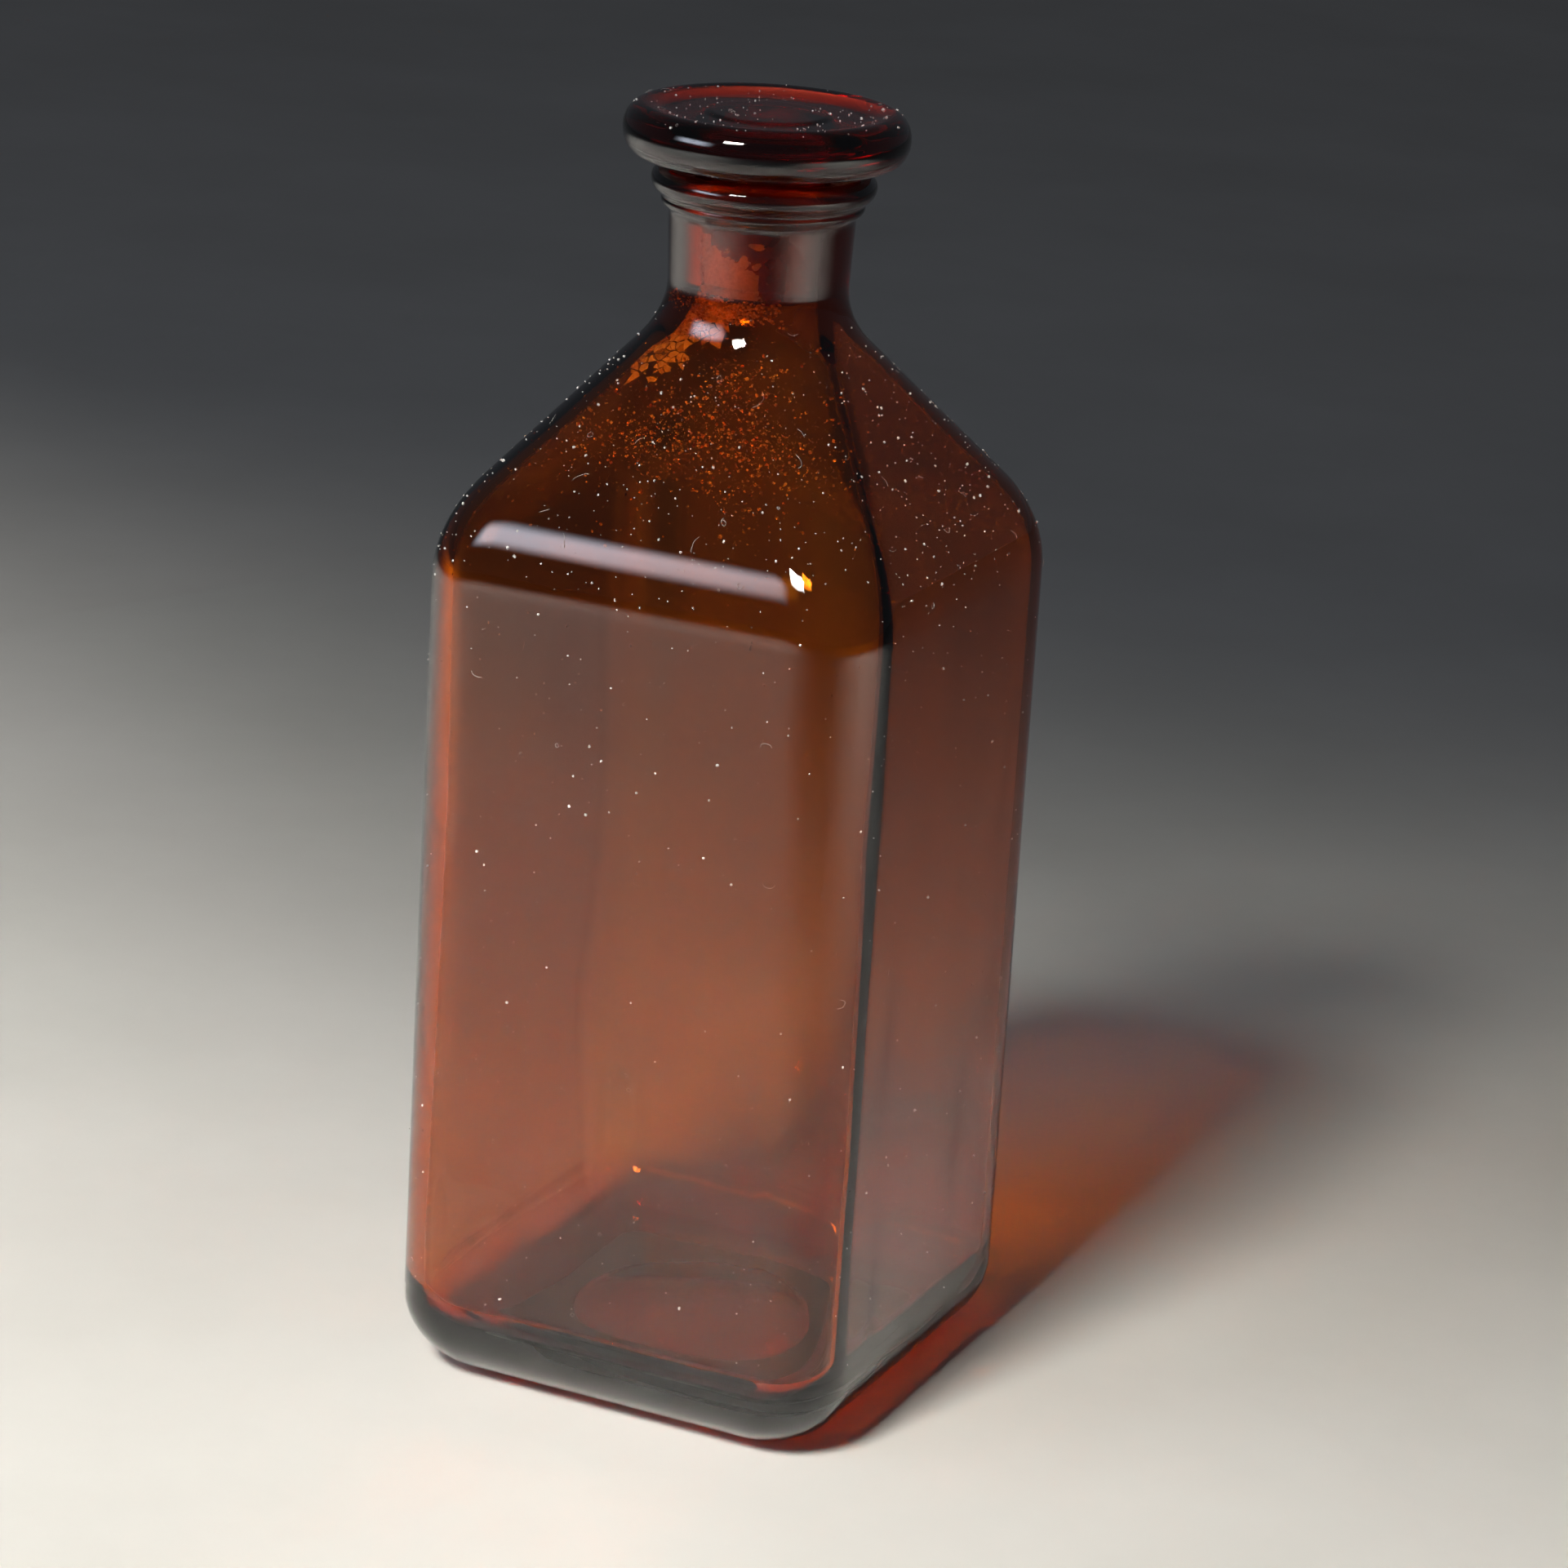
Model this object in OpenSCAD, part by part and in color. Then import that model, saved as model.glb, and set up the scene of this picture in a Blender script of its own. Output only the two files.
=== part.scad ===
// Square amber glass apothecary bottle with a ground-in, disc-headed glass stopper
// and a little of its old contents dried on inside the shoulders.
// Millimetres, +Z up. The origin is the centre of the base, on the surface it stands on.
// The wide flat faces look along -Y, +X, +Y and -X.

/* [Body] */
// Width of the square body across its flat sides
body_w = 72; // [70:0.5:76]
// Radius of the body's upright corners
corner_r = 11; // [10:0.5:12.5]
// Radius of the curve where the sides turn in under the base
heel_r = 12.5; // [11:0.5:13]
// Corner radius of the flat that the bottle stands on
foot_corner_r = 4; // [3:0.5:6]
// Height at which the upright sides end and the hip curve starts
hip_z = 123; // [114:1:132]
// Radius of the hip curve
hip_r = 23; // [20:0.5:24]
// Slope of the shoulders, in degrees from level
shoulder_slope = 52.5; // [51:0.5:54]

/* [Glass] */
// Thickness of the glass in the sides, the hip and the shoulders
wall_t = 3.2; // [2.8:0.1:3.6]
// Thickness of the glass in the base
base_t = 8.5; // [7.5:0.5:10]
// Radius where the inside of the sides meets the inside floor
inner_heel_r = 7; // [5:0.5:8]
// Depth of the shallow hollow in the underside
push_up_h = 1.2; // [0.6:0.1:1.6]
// Radius of the shallow hollow in the underside
push_up_r = 19; // [15:0.5:20]

/* [Neck and lip] */
// Radius of the neck at its root
neck_root_r = 13; // [12.5:0.1:13.3]
// Radius of the neck just under its collar
neck_top_r = 13.45; // [13.3:0.05:13.8]
// Length of plain neck between its root and its collar
neck_len = 10.6; // [9:0.2:12]
// Radius of the hollow curve between the shoulders and the neck
root_fillet_r = 14.5; // [12:0.5:15]
// Radius of the thin collar under the lip
collar_r = 14.6; // [14:0.1:15]
// Height of the thin collar under the lip
collar_h = 1.9; // [1.5:0.1:2.5]
// Largest radius of the rolled lip
lip_r = 16.15; // [15.6:0.05:16.6]
// Height of the rolled lip
lip_h = 3.9; // [3.4:0.1:4.4]

/* [Ground joint] */
// Radius of the ground bore at its lower end
bore_root_r = 8.4; // [8:0.1:8.6]
// Radius that the ground bore gains for each millimetre of height
joint_taper = 0.05; // [0.04:0.005:0.06]
// Clearance between the ground plug and its bore, measured on the radius
joint_gap = 0.05; // [0.02:0.01:0.08]
// Depth to which the plug reaches below the top of the lip
plug_depth = 18; // [16:0.5:19]

/* [Stopper] */
// Radius of the disc head
disc_r = 20.55; // [19:0.05:22]
// Thickness of the disc head at its rim
disc_t = 7.4; // [6.5:0.1:8]
// How far the rounding of the rim reaches in from the largest radius
disc_round = 3; // [2.5:0.1:3.5]
// Height of the gap between the lip and the underside of the disc
seat_gap = 1.4; // [1.2:0.1:2.5]
// Depth of the dish in the top of the disc
dish_h = 1.1; // [0.8:0.1:2]
// Radius of the flat floor of the dish
dish_r = 13; // [11:0.5:14]
// Height of the low round boss in the middle of the dish
boss_h = 0.4; // [0.2:0.1:0.6]
// Radius of the low round boss in the middle of the dish
boss_r = 8; // [6:0.5:9]
// Radius of the hollow core in the plug, at its open end
core_r = 4.6; // [4:0.1:5]
// Depth of the hollow core, from the plug's tip
core_h = 9.5; // [7:0.5:11]

/* [Dried contents] */
// Thickness of the dried crust
crust_t = 0.5; // [0.3:0.1:0.8]
// Height of the crust's upper edge below the lower end of the ground bore
crust_drop = 3.2; // [3:0.2:5]
// Length of the crust down the shoulders
crust_len = 9; // [7:0.5:10]
// Number of rows of larger crystals up the front shoulder
crystal_rows = 6; // [3:1:7]
// Number of larger crystals in each row
crystal_columns = 6; // [3:1:7]
// Edge of the largest crystal
crystal_size = 1; // [0.6:0.1:1.2]

/* [Hidden] */

$fn = 96;
corner_steps = 8;        // points on each corner arc of a body section
curve_steps = 6;         // sections on the heel, on the hip and on the neck root
blend_power = 0.5;       // how fast the corners round out on the way up the shoulders
seam_step = 0.1;         // how far a lofted end ring stands outside the turned part it meets
seam_depth = 3;          // how deep the turned neck starts inside the lofted body
bore_overlap = 0.5;      // how far the ground bore reaches down into the cavity
mouth_flare = 0.6;       // chamfer at the top of the bore
cut_margin = 1;          // how far a cut runs on outside the glass
collar_step = 0.4;       // height over which the neck steps out to its collar
tip_chamfer = 0.6;       // chamfer round the plug's tip
boss_slope = 1.5;        // width of the slope round the boss
fillet_rest = 0.2;       // how much lower than the seat gap the fillet under the disc is
crust_gap = 0.3;         // how far the crust's solid lies inside the glass
crust_from = -172;       // direction of the crust's left end
crust_to = -84;          // direction of the crust's right end
crystal_gap = 0.4;       // how far the crystals' solids lie inside the glass
crystal_low = 8;         // height of the lowest crystals above the start of the hip
crystal_spread = 38;     // how far the crystals reach to each side of the front
crystal_scatter = 0.25;  // how far each crystal strays from its place, as a share of the spacing
hip_turn = 90 - shoulder_slope;
half_w = body_w / 2;

// Radius of the hollow curve inside the glass, between the cavity and the bore
inner_fillet_r = 14;
inner_half_w = half_w - wall_t;
inner_hip_r = hip_r - wall_t;
inner_corner_r = corner_r - wall_t;

// Height at which a shoulder profile has turned fully upright at its neck
function root_z(half, hip, neck, fillet) =
    let (
        hip_end = half - hip + hip * cos(hip_turn),
        hip_end_z = hip_z + hip * sin(hip_turn),
        fillet_start = neck + fillet - fillet * cos(hip_turn)
    )
    hip_end_z + (hip_end - fillet_start) * tan(shoulder_slope) + fillet * sin(hip_turn);

neck_root_z = root_z(half_w, hip_r, neck_root_r, root_fillet_r);
bore_root_z = root_z(inner_half_w, inner_hip_r, bore_root_r, inner_fillet_r);
collar_z = neck_root_z + neck_len;
lip_z = collar_z + collar_h;
lip_top = lip_z + lip_h;
mouth_r = bore_root_r + joint_taper * (lip_top - bore_root_z);
disc_z = lip_top + seat_gap;
disc_top = disc_z + disc_t;
plug_z = lip_top - plug_depth;

// Radius of the ground bore at height z
function bore_r(z) = bore_root_r + joint_taper * (z - bore_root_z);

// Radius of the ground plug at height z
function plug_r(z) = bore_r(z) - joint_gap;

// A point turned about the Z axis
function turned(p, a) = [p.x * cos(a) - p.y * sin(a), p.x * sin(a) + p.y * cos(a)];

// Points of one rounded square section: half width w, corner radius r, height z.
// Each side gives its middle point and then the arc of the corner after it.
function section(w, r, z) = [
    for (side = [0:3])
        each concat(
            [[each turned([w, 0], 90 * side), z]],
            [for (i = [0:corner_steps - 1])
                let (a = 90 * (i + 0.5) / corner_steps, c = w - r)
                [each turned([c + r * cos(a), c + r * sin(a)], 90 * side), z]]
        )
];

// Corner radius of a section of half width w on the way from the sides to the neck
function blended_r(w, half, corner, neck) =
    let (way = max(0, min(1, (half - w) / (half - neck))))
    min(w, corner + (neck - corner) * pow(way, blend_power));

// Half width and height of every section from the hip to the neck root
function shoulder_line(half, hip, neck, fillet) =
    let (top = root_z(half, hip, neck, fillet))
    concat(
        [for (i = [0:curve_steps])
            let (a = hip_turn * i / curve_steps)
            [half - hip + hip * cos(a), hip_z + hip * sin(a)]],
        [for (i = [0:curve_steps])
            let (a = hip_turn * (1 - i / curve_steps))
            [neck + fillet - fillet * cos(a), top - fillet * sin(a)]]
    );

// Sections of a bottle form, from its floor to its neck root
function bottle_sections(half, corner, foot_corner, floor_z, heel, hip, neck, fillet) =
    concat(
        [for (i = [0:curve_steps])
            let (
                a = 90 * i / curve_steps,
                inset = heel * (1 - sin(a)),
                r = corner + (foot_corner - corner) * inset / heel
            )
            section(half - inset, r, floor_z + heel * (1 - cos(a)))],
        [for (p = shoulder_line(half, hip, neck, fillet))
            section(p.x, blended_r(p.x, half, corner, neck), p.y)]
    );

// A closed solid through a stack of sections with equal numbers of points
module loft(sections) {
    n = len(sections[0]);
    last = len(sections) - 1;
    polyhedron(
        points = [for (s = sections) each s],
        faces = concat(
            [[for (j = [0:n - 1]) j]],
            [[for (j = [n - 1:-1:0]) last * n + j]],
            [for (i = [0:last - 1], j = [0:n - 1])
                let (k = (j + 1) % n, low = i * n, high = low + n)
                each [[low + j, high + j, high + k], [low + j, high + k, low + k]]]
        )
    );
}

// Points of an elliptical arc about c, with half axes rx and rz
function arc_points(c, rx, rz, from, to, steps) = [
    for (i = [0:steps])
        let (a = from + (to - from) * i / steps)
        [c.x + rx * cos(a), c.y + rz * sin(a)]
];

// Turned upper end of the neck with its thin collar and rolled lip, still solid
module neck_blank() {
    collar_round = collar_h / 2;
    lip_round = lip_h / 2;
    rotate_extrude()
        polygon(concat(
            [[0, neck_root_z - seam_depth], [neck_root_r, neck_root_z - seam_depth]],
            [[neck_root_r, neck_root_z], [neck_top_r, collar_z - collar_step]],
            arc_points([collar_r - collar_round, collar_z + collar_round],
                       collar_round, collar_round, -90, 20, 5),
            arc_points([lip_r - lip_round, lip_z + lip_round],
                       lip_round, lip_round, -75, 90, 9),
            [[0, lip_top]]
        ));
}

// Tapered ground bore with a small flare at the mouth
module ground_bore() {
    low = bore_root_z - bore_overlap;
    rotate_extrude()
        polygon([
            [0, low], [bore_r(low), low],
            [bore_r(lip_top - mouth_flare), lip_top - mouth_flare],
            [mouth_r + mouth_flare, lip_top], [mouth_r + mouth_flare, lip_top + cut_margin],
            [0, lip_top + cut_margin]
        ]);
}

// Shallow hollow in the underside, so that the bottle stands on the rim of its base
module push_up() {
    cap_r = (pow(push_up_r, 2) + pow(push_up_h, 2)) / (2 * push_up_h);
    spread = asin(push_up_r / cap_r);
    rotate_extrude()
        polygon(concat(
            [[0, -cut_margin], [push_up_r, -cut_margin]],
            [for (i = [0:curve_steps])
                let (a = spread * (1 - i / curve_steps))
                [cap_r * sin(a), push_up_h - cap_r * (1 - cos(a))]]
        ));
}

// The bottle: one piece of amber glass, open at the mouth
module bottle() {
    color([0.55, 0.24, 0.06])
        difference() {
            union() {
                loft(bottle_sections(half_w, corner_r, foot_corner_r, 0, heel_r,
                                     hip_r, neck_root_r + seam_step, root_fillet_r));
                neck_blank();
            }
            loft(bottle_sections(inner_half_w, inner_corner_r, foot_corner_r, base_t,
                                 inner_heel_r, inner_hip_r, bore_root_r + seam_step,
                                 inner_fillet_r));
            ground_bore();
            push_up();
        }
}

// The stopper: a dished disc on a ground, tapered plug with a hollow core
module stopper() {
    rim_x = disc_r - disc_round;
    half_t = disc_t / 2;
    under_fillet = seat_gap - fillet_rest;
    plug_top_r = plug_r(lip_top);
    dish_z = disc_top - dish_h;
    dish_run = rim_x - dish_r;
    core_top_r = core_r - joint_taper * (core_h - core_r);
    dish_steps = 6;
    color([0.42, 0.07, 0.05])
        rotate_extrude()
            polygon(concat(
                [[core_r, plug_z], [plug_r(plug_z) - tip_chamfer, plug_z]],
                [[plug_r(plug_z + tip_chamfer), plug_z + tip_chamfer], [plug_top_r, lip_top]],
                arc_points([plug_top_r + under_fillet, disc_z - under_fillet],
                           under_fillet, under_fillet, 170, 90, 4),
                arc_points([rim_x, disc_z + half_t], disc_round, half_t, -90, 90, 14),
                [for (i = [1:dish_steps])
                    let (way = i / dish_steps)
                    [rim_x - dish_run * way, disc_top - dish_h * (1 - cos(180 * way)) / 2]],
                [[boss_r + boss_slope, dish_z], [boss_r, dish_z + boss_h], [0, dish_z + boss_h]],
                arc_points([0, plug_z + core_h - core_top_r], core_top_r, core_top_r, 90, 0, 6)
            ));
}

// Distance from the Z axis to the side of a rounded square section, in direction a
function section_reach(w, r, a) =
    let (
        side = a - 90 * round(a / 90),
        c = w - r,
        along = abs(tan(side)) * w
    )
    along <= c ? w / cos(side)
    : let (d = c * (cos(side) + abs(sin(side))))
      d + sqrt(r * r - 2 * c * c + d * d);

// Half width of the cavity at height z above the hip
function cavity_half(z) =
    let (
        hip_end_z = hip_z + inner_hip_r * sin(hip_turn),
        fillet_z = bore_root_z - inner_fillet_r * sin(hip_turn)
    )
    z <= hip_end_z
        ? inner_half_w - inner_hip_r + sqrt(pow(inner_hip_r, 2) - pow(z - hip_z, 2))
    : z <= fillet_z
        ? inner_half_w - inner_hip_r + inner_hip_r * cos(hip_turn)
          - (z - hip_end_z) / tan(shoulder_slope)
    : bore_root_r + inner_fillet_r - sqrt(pow(inner_fillet_r, 2) - pow(bore_root_z - z, 2));

// Point at a distance inside the cavity's surface, in direction a at height z
function inside_point(a, z, inset) =
    let (
        w = cavity_half(z),
        reach = section_reach(w, blended_r(w, inner_half_w, inner_corner_r, bore_root_r), a)
    )
    [(reach - inset) * cos(a), (reach - inset) * sin(a), z];

// The crust: a thin curved flake with a ragged lower edge, on the left of the neck root
module dried_crust() {
    across = 22;
    down = 5;
    top = bore_root_z - crust_drop;
    // The crust's height at column i: it thins out towards both ends, with two ripples on it
    function edge(i) =
        let (
            ripple = 0.72 + 0.2 * sin(47 * i) + 0.08 * sin(131 * i),
            ends = sqrt(sin(20 + 140 * i / across))
        )
        crust_len * ripple * ends;
    grid = [for (i = [0:across], j = [0:down])
                [crust_from + (crust_to - crust_from) * i / across, top - edge(i) * j / down]];
    outer = [for (g = grid) inside_point(g.x, g.y, crust_gap)];
    inner = [for (g = grid) inside_point(g.x, g.y, crust_gap + crust_t)];
    n = len(grid);
    row = down + 1;
    color([0.72, 0.33, 0.08])
        polyhedron(
            points = concat(outer, inner),
            faces = concat(
                [for (i = [0:across - 1], j = [0:down - 1])
                    let (p = i * row + j)
                    each [[p, p + row, p + row + 1], [p, p + row + 1, p + 1],
                          [n + p, n + p + row + 1, n + p + row], [n + p, n + p + 1, n + p + row + 1]]],
                [for (i = [0:across - 1], j = [0, down])
                    let (p = i * row + j, q = p + row)
                    each (j == 0 ? [[p, n + q, q], [p, n + p, n + q]]
                                 : [[p, q, n + q], [p, n + q, n + p]])],
                [for (i = [0, across], j = [0:down - 1])
                    let (p = i * row + j, q = p + 1)
                    each (i == 0 ? [[p, q, n + q], [p, n + q, n + p]]
                                 : [[p, n + q, q], [p, n + p, n + q]])]
            )
        );
}

// The crystals: separate small grains scattered down the inside of the front shoulder
module dried_crystals() {
    low = hip_z + crystal_low;
    high = bore_root_z - crust_drop - crust_len - crystal_size;
    seed = 7;
    smallest = 0.55;
    count = crystal_rows * crystal_columns;
    aside = rands(-crystal_scatter, crystal_scatter, count, seed);
    height = rands(-crystal_scatter, crystal_scatter, count, seed + 1);
    fineness = rands(smallest, 1, count, seed + 2);
    spin = rands(0, 90, count, seed + 3);
    color([0.85, 0.35, 0.08])
        for (row = [0:crystal_rows - 1], column = [0:crystal_columns - 1])
            let (
                i = row * crystal_columns + column,
                z = low + (high - low) * (row + 0.5 + height[i]) / crystal_rows,
                share = (column + 0.5 + aside[i]) / crystal_columns,
                a = -90 + crystal_spread * (2 * share - 1),
                edge = crystal_size * fineness[i]
            )
            translate(inside_point(a, z, crystal_gap + edge))
                rotate([hip_turn, 0, 0])
                    rotate([0, spin[i], 0])
                        cube(edge, center = true);
}

bottle();
stopper();
dried_crust();
dried_crystals();
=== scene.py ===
"""Looks of the square, stoppered medicine bottle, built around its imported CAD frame.

Everything is in metres, in the CAD's own frame: +Z up, the origin at the centre of the base.
"""

import math
import random

import bpy
import numpy as np
from mathutils import Euler, Matrix, Vector, noise


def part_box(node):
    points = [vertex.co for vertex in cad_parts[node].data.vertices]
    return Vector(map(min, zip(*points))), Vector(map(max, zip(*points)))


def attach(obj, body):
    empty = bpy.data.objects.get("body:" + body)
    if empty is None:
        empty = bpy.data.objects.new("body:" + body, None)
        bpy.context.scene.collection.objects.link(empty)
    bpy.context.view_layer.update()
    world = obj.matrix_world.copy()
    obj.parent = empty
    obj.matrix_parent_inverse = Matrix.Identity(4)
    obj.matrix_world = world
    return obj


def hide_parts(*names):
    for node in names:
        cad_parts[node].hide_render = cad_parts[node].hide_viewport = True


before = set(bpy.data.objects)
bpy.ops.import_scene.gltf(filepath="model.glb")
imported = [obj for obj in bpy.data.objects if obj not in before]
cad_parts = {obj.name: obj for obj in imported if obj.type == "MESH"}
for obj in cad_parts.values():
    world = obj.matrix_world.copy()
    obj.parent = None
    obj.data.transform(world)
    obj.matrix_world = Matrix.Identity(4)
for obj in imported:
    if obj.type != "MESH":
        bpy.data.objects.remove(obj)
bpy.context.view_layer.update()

MM = 0.001

# ---------------------------------------------------------------- sizes of the two glasses
_, bottle_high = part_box("bottle")
stopper_low, stopper_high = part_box("stopper")

HALF_W = bottle_high.x                # half the width across the flat sides
LIP_TOP = bottle_high.z
DISC_R = stopper_high.x
DISC_TOP = stopper_high.z
PLUG_Z = stopper_low.z                # tip of the ground plug

CORNER_R = 11.0 * MM
HEEL_R = 12.5 * MM
FOOT_CORNER_R = 4.0 * MM
HIP_Z = 123.0 * MM
HIP_R = 23.0 * MM
SHOULDER_SLOPE = math.radians(52.5)
HIP_TURN = math.pi / 2 - SHOULDER_SLOPE

WALL_T = 3.2 * MM
BASE_T = 8.5 * MM
INNER_HEEL_R = 7.0 * MM
PUSH_UP_H = 1.2 * MM
PUSH_UP_R = 19.0 * MM

NECK_ROOT_R = 13.0 * MM
NECK_TOP_R = 13.45 * MM
ROOT_FILLET_R = 14.5 * MM
INNER_FILLET_R = 14.0 * MM
COLLAR_R = 14.6 * MM
COLLAR_H = 1.9 * MM
LIP_R = 16.15 * MM
LIP_H = 3.9 * MM

BORE_ROOT_R = 8.4 * MM
JOINT_TAPER = 0.05
JOINT_GAP = 0.05 * MM
MOUTH_FLARE = 0.6 * MM

COLLAR_STEP = 0.5 * MM                # height over which the neck steps out to its collar
TIP_ROUND = 0.6 * MM                  # rounding of the plug's tip
FILLET_REST = 0.2 * MM                # how far the fillet under the disc stops above the lip

DISC_T = 7.4 * MM
DISC_ROUND = 3.0 * MM
DISH_H = 1.1 * MM
DISH_R = 13.0 * MM
BOSS_H = 0.4 * MM
BOSS_R = 8.0 * MM
BOSS_SLOPE = 1.5 * MM                 # width of the slope round the boss
CORE_R = 4.6 * MM
CORE_H = 9.5 * MM

INNER_HALF_W = HALF_W - WALL_T
INNER_HIP_R = HIP_R - WALL_T
INNER_CORNER_R = CORNER_R - WALL_T


def root_z(half, hip, neck, fillet):
    """Height at which a shoulder profile has turned fully upright at its neck."""
    hip_end = half - hip + hip * math.cos(HIP_TURN)
    hip_end_z = HIP_Z + hip * math.sin(HIP_TURN)
    fillet_start = neck + fillet - fillet * math.cos(HIP_TURN)
    rise = (hip_end - fillet_start) * math.tan(SHOULDER_SLOPE)
    return hip_end_z + rise + fillet * math.sin(HIP_TURN)


NECK_ROOT_Z = root_z(HALF_W, HIP_R, NECK_ROOT_R, ROOT_FILLET_R)
BORE_ROOT_Z = root_z(INNER_HALF_W, INNER_HIP_R, BORE_ROOT_R, INNER_FILLET_R)
LIP_Z = LIP_TOP - LIP_H
COLLAR_Z = LIP_Z - COLLAR_H
DISC_Z = DISC_TOP - DISC_T


def bore_r(z):
    """Radius of the ground bore at height z."""
    return BORE_ROOT_R + JOINT_TAPER * (z - BORE_ROOT_Z)


def plug_r(z):
    """Radius of the ground plug at height z."""
    return bore_r(z) - JOINT_GAP


# ---------------------------------------------------------------- sections and profiles
RING_POINTS = 256
CORNER_CROWDING = 0.5                 # how much closer the points lie at the corners


def ring_angles():
    """Directions of a ring's points, closer together at the four corners."""
    share = np.arange(RING_POINTS) * 4 / RING_POINTS
    corner = np.floor(share)
    t = share - corner - 0.5
    eased = t * (1 - CORNER_CROWDING) + 4 * CORNER_CROWDING * t ** 3
    return (corner + 0.5 + eased) * math.pi / 2


ANGLES = ring_angles()


def reach(w, r, angle):
    """Distance from the axis to the side of a rounded square, in the given direction."""
    side = angle - (math.pi / 2) * np.round(angle / (math.pi / 2))
    c = w - r
    along = np.abs(np.tan(side)) * w
    d = c * (np.cos(side) + np.abs(np.sin(side)))
    on_arc = d + np.sqrt(np.maximum(r * r - 2 * c * c + d * d, 0))
    return np.where(along <= c, w / np.cos(side), on_arc)


def blended_r(w, half, corner, neck):
    """Corner radius on the way from the flat sides to the round neck."""
    way = min(1.0, max(0.0, (half - w) / (half - neck)))
    return min(w, corner + (neck - corner) * math.sqrt(way))


def arc(cx, cz, rx, rz, start, end, steps):
    """Points (x, z) of an elliptical arc about (cx, cz), from angle start to end in degrees."""
    turn = [math.radians(start + (end - start) * i / steps) for i in range(steps + 1)]
    return [(cx + rx * math.cos(a), cz + rz * math.sin(a)) for a in turn]


def between(a, b, steps):
    """Points that cut the line from a to b into equal steps, without a and b themselves."""
    (x0, z0), (x1, z1) = a, b
    return [(x0 + (x1 - x0) * i / steps, z0 + (z1 - z0) * i / steps) for i in range(1, steps)]


def shoulder_line(half, hip, neck, fillet):
    """(half width, height) from the hip to the neck root."""
    top = root_z(half, hip, neck, fillet)
    turn = math.degrees(HIP_TURN)
    lower = arc(half - hip, HIP_Z, hip, hip, 0, turn, 26)
    upper = arc(neck + fillet, top, -fillet, -fillet, turn, 0, 26)
    return lower + between(lower[-1], upper[0], 12) + upper


def outer_sections():
    """(half width, corner radius, height) up the outside of the bottle, from under its base."""
    foot = HALF_W - HEEL_R
    cap_r = (PUSH_UP_R ** 2 + PUSH_UP_H ** 2) / (2 * PUSH_UP_H)
    cap_steps, rim_steps, heel_steps, side_steps = 14, 5, 24, 40
    sections = []
    for i in range(1, cap_steps + 1):
        r = PUSH_UP_R * i / cap_steps
        sections.append((r, r, PUSH_UP_H - cap_r + math.sqrt(cap_r ** 2 - r ** 2)))
    for i in range(1, rim_steps):
        way = i / rim_steps
        w = PUSH_UP_R + (foot - PUSH_UP_R) * way
        sections.append((w, PUSH_UP_R + (FOOT_CORNER_R - PUSH_UP_R) * way, 0.0))
    for i in range(heel_steps + 1):
        a = math.pi / 2 * i / heel_steps
        inset = HEEL_R * (1 - math.sin(a))
        r = CORNER_R + (FOOT_CORNER_R - CORNER_R) * inset / HEEL_R
        sections.append((HALF_W - inset, r, HEEL_R * (1 - math.cos(a))))
    for i in range(1, side_steps):
        sections.append((HALF_W, CORNER_R, HEEL_R + (HIP_Z - HEEL_R) * i / side_steps))
    for w, z in shoulder_line(HALF_W, HIP_R, NECK_ROOT_R, ROOT_FILLET_R):
        sections.append((w, blended_r(w, HALF_W, CORNER_R, NECK_ROOT_R), z))
    return sections


def neck_sections():
    """Round sections up the neck, over the collar and the rolled lip and into the mouth."""
    collar_round, lip_round = COLLAR_H / 2, LIP_H / 2
    root, top = (NECK_ROOT_R, NECK_ROOT_Z), (NECK_TOP_R, COLLAR_Z - COLLAR_STEP)
    line = between(root, top, 11) + [top]
    line += arc(COLLAR_R - collar_round, COLLAR_Z + collar_round, collar_round, collar_round,
                -80, 30, 10)
    line += arc(LIP_R - lip_round, LIP_Z + lip_round, lip_round, lip_round, -65, 90, 22)
    inner_edge = bore_r(LIP_TOP) + MOUTH_FLARE
    line += between((LIP_R - lip_round, LIP_TOP), (inner_edge, LIP_TOP), 5)
    line += arc(inner_edge, LIP_TOP - MOUTH_FLARE, MOUTH_FLARE, MOUTH_FLARE, 90, 178, 8)
    return [(x, x, z) for x, z in line]


def inner_sections():
    """Sections down the ground bore and the inside of the bottle, to its inside floor."""
    top = LIP_TOP - 1.2 * MOUTH_FLARE
    bore_steps, side_steps, heel_steps, floor_steps = 30, 40, 18, 16
    sections = []
    for i in range(1, bore_steps):
        z = top + (BORE_ROOT_Z - top) * i / bore_steps
        sections.append((bore_r(z), bore_r(z), z))
    line = shoulder_line(INNER_HALF_W, INNER_HIP_R, BORE_ROOT_R, INNER_FILLET_R)
    for w, z in reversed(line):
        sections.append((w, blended_r(w, INNER_HALF_W, INNER_CORNER_R, BORE_ROOT_R), z))
    low = BASE_T + INNER_HEEL_R
    for i in range(1, side_steps):
        sections.append((INNER_HALF_W, INNER_CORNER_R, HIP_Z + (low - HIP_Z) * i / side_steps))
    for i in range(heel_steps + 1):
        a = math.pi / 2 * (1 - i / heel_steps)
        inset = INNER_HEEL_R * (1 - math.sin(a))
        r = INNER_CORNER_R + (FOOT_CORNER_R - INNER_CORNER_R) * inset / INNER_HEEL_R
        sections.append((INNER_HALF_W - inset, r, BASE_T + INNER_HEEL_R * (1 - math.cos(a))))
    w0 = INNER_HALF_W - INNER_HEEL_R
    for i in range(1, floor_steps):
        way = i / floor_steps
        w = w0 * (1 - way)
        sections.append((w, min(w, FOOT_CORNER_R + (w0 - FOOT_CORNER_R) * way), BASE_T))
    return sections


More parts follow.
